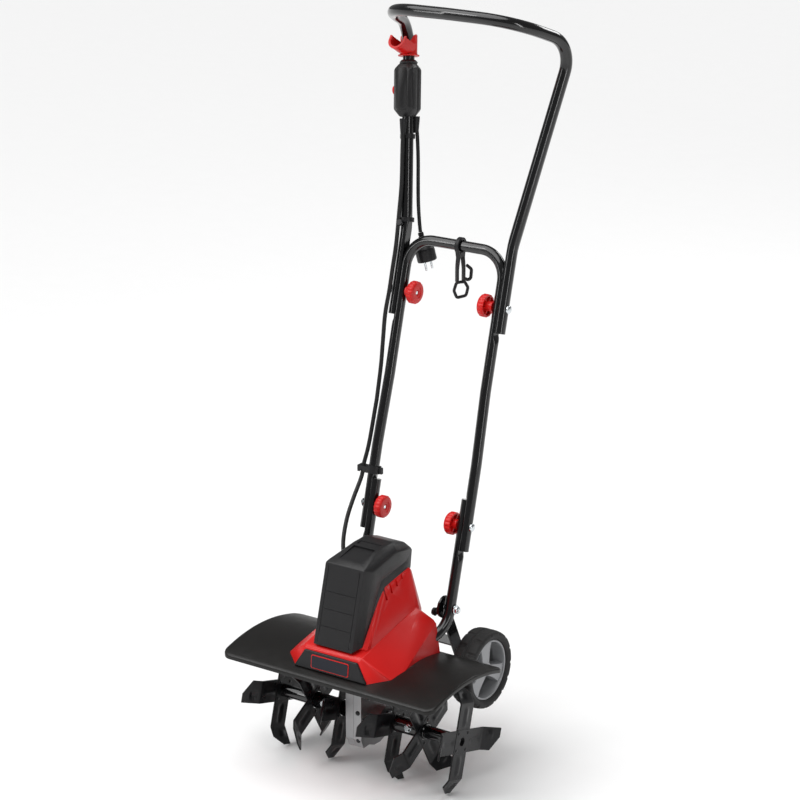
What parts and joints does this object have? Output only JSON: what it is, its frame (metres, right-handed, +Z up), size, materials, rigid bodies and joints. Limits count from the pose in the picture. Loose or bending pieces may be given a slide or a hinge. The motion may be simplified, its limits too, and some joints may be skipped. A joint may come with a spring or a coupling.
{
  "type": "garden tiller",
  "caption": "Electric garden tiller: bladed tine stars on a worm-driven axle under a guard and motor housing, with folding handle and swing-up transport wheels",
  "frame": {"origin": "On the ground, under the centre of the whole machine in its working pose.", "axes": "+Z is up, -Y is the front where the guard is and +Y is where the user walks, +X is to the right seen from the front."},
  "size_m": [0.464, 0.5408, 1.3748],
  "materials": {
    "red_plastic": "satin",
    "cover_plastic": "fine grain",
    "black_plastic": "satin",
    "frame_paint": "gloss",
    "tine_paint": "semi-gloss",
    "cast_alloy": "as cast",
    "zinc_steel": "zinc plated",
    "plain_steel": "ground",
    "bronze": "machined",
    "rim_plastic": "satin silver",
    "tyre_rubber": "matte",
    "cord_rubber": "satin"
  },
  "bodies": {
    "chassis": {"gearbox_half_left": "cast_alloy", "gearbox_half_right": "cast_alloy", "axle_bearing_left": "plain_steel", "axle_bearing_right": "plain_steel", "motor_stator": "plain_steel", "upper_motor_bearing": "plain_steel", "tine_guard": "cover_plastic", "motor_housing": "red_plastic", "motor_cover": "cover_plastic", "front_panel": "black_plastic", "lower_frame_tube_left": "frame_paint", "lower_frame_tube_right": "frame_paint", "motor_mount_plate": "plain_steel", "bracket_bolt_left": "zinc_steel", "bracket_bolt_right": "zinc_steel", "motor_cord_lower": "cord_rubber", "lower_joint_bolt_left": "zinc_steel", "lower_joint_bolt_right": "zinc_steel"},
    "tine_drive": {"tine_axle": "plain_steel", "worm_wheel": "bronze", "tine_sleeve_left": "frame_paint", "tine_sleeve_right": "frame_paint", "sleeve_bolt_left": "zinc_steel", "sleeve_bolt_right": "zinc_steel", "tine_star_inner_left": "tine_paint", "tine_star_inner_right": "tine_paint", "tine_star_middle_left": "tine_paint", "tine_star_middle_right": "tine_paint", "tine_star_outer_left": "tine_paint", "tine_star_outer_right": "tine_paint"},
    "armature": {"armature_shaft": "plain_steel", "armature_core": "plain_steel", "cooling_fan": "black_plastic"},
    "middle_handle": {"middle_frame": "frame_paint", "cord_clip": "black_plastic", "motor_cord_middle": "cord_rubber", "upper_joint_bolt_left": "zinc_steel", "upper_joint_bolt_right": "zinc_steel"},
    "top_handle": {"upper_handle": "frame_paint", "switch_box_front": "cover_plastic", "switch_box_rear": "cover_plastic", "motor_cord_upper": "cord_rubber", "plug_lead": "cord_rubber", "mains_plug": "black_plastic"},
    "switch_lever": {"switch_lever": "red_plastic"},
    "lock_off_button": {"lock_off_button": "red_plastic"},
    "cord_hook": {"cord_hook": "black_plastic"},
    "wheel_bracket": {"wheel_bracket": "frame_paint", "wheel_axle": "zinc_steel"},
    "wheel_lock_pin": {"wheel_lock_pin": "black_plastic"},
    "wheel_left": {"tyre_left": "tyre_rubber", "wheel_rim_left": "rim_plastic"},
    "wheel_right": {"tyre_right": "tyre_rubber", "wheel_rim_right": "rim_plastic"},
    "lower_knob_left": {"lower_knob_left": "red_plastic"},
    "lower_knob_right": {"lower_knob_right": "red_plastic"},
    "upper_knob_left": {"upper_knob_left": "red_plastic"},
    "upper_knob_right": {"upper_knob_right": "red_plastic"}
  },
  "joints": [
    {"name": "tine_spin", "type": "hinge", "parent": "chassis", "child": "tine_drive", "pos_m": [0, -0.12536, 0.10414], "axis": [1, 0, 0], "continuous": true},
    {"name": "armature_spin", "type": "hinge", "parent": "chassis", "child": "armature", "pos_m": [0, -0.16336, 0.10414], "axis": [0, 0, 1], "continuous": true},
    {"name": "bracket_swing", "type": "hinge", "parent": "chassis", "child": "wheel_bracket", "pos_m": [0, -0.01186, 0.30114], "axis": [1, 0, 0], "range_deg": [0, 70]},
    {"name": "wheel_left_spin", "type": "hinge", "parent": "wheel_bracket", "child": "wheel_left", "pos_m": [-0.126, 0.05324, 0.16514], "axis": [1, 0, 0], "continuous": true},
    {"name": "wheel_right_spin", "type": "hinge", "parent": "wheel_bracket", "child": "wheel_right", "pos_m": [0.126, 0.05324, 0.16514], "axis": [1, 0, 0], "continuous": true},
    {"name": "lock_pin_slide", "type": "slide", "parent": "wheel_bracket", "child": "wheel_lock_pin", "axis": [-1, 0, 0], "range_m": [0, 0.008], "stiffness_N_per_m": 400},
    {"name": "lower_fold", "type": "hinge", "parent": "chassis", "child": "middle_handle", "pos_m": [0, 0.02764, 0.45014], "axis": [1, 0, 0], "range_deg": [0, 100], "deforming": ["motor_cord_lower"]},
    {"name": "upper_fold", "type": "hinge", "parent": "middle_handle", "child": "top_handle", "pos_m": [0, 0.13209, 0.83914], "axis": [1, 0, 0], "range_deg": [-120, 0]},
    {"name": "lower_knob_left_turn", "type": "hinge", "parent": "chassis", "child": "lower_knob_left", "pos_m": [-0.08, 0.02764, 0.45014], "axis": [1, 0, 0], "continuous": true},
    {"name": "lower_knob_right_turn", "type": "hinge", "parent": "chassis", "child": "lower_knob_right", "pos_m": [0.08, 0.02764, 0.45014], "axis": [1, 0, 0], "continuous": true},
    {"name": "upper_knob_left_turn", "type": "hinge", "parent": "middle_handle", "child": "upper_knob_left", "pos_m": [-0.08, 0.13209, 0.83914], "axis": [1, 0, 0], "continuous": true},
    {"name": "upper_knob_right_turn", "type": "hinge", "parent": "middle_handle", "child": "upper_knob_right", "pos_m": [0.08, 0.13209, 0.83914], "axis": [1, 0, 0], "continuous": true},
    {"name": "switch_lever_pull", "type": "hinge", "parent": "top_handle", "child": "switch_lever", "pos_m": [-0.16725, 0.25701, 1.25042], "axis": [1, 0, 0], "range_deg": [-12, 0], "stiffness_Nm_per_rad": 0.6},
    {"name": "lock_off_press", "type": "slide", "parent": "top_handle", "child": "lock_off_button", "axis": [0.9872, 0.0413, 0.1538], "range_m": [0, 0.004], "stiffness_N_per_m": 500},
    {"name": "cord_hook_swing", "type": "hinge", "parent": "middle_handle", "child": "cord_hook", "pos_m": [0.006, 0.15786, 0.93514], "axis": [1, 0, 0], "range_deg": [-40, 40]}
  ],
  "couplings": [
    {"joint": "armature_spin", "follows": "tine_spin", "ratio": 30}
  ]
}
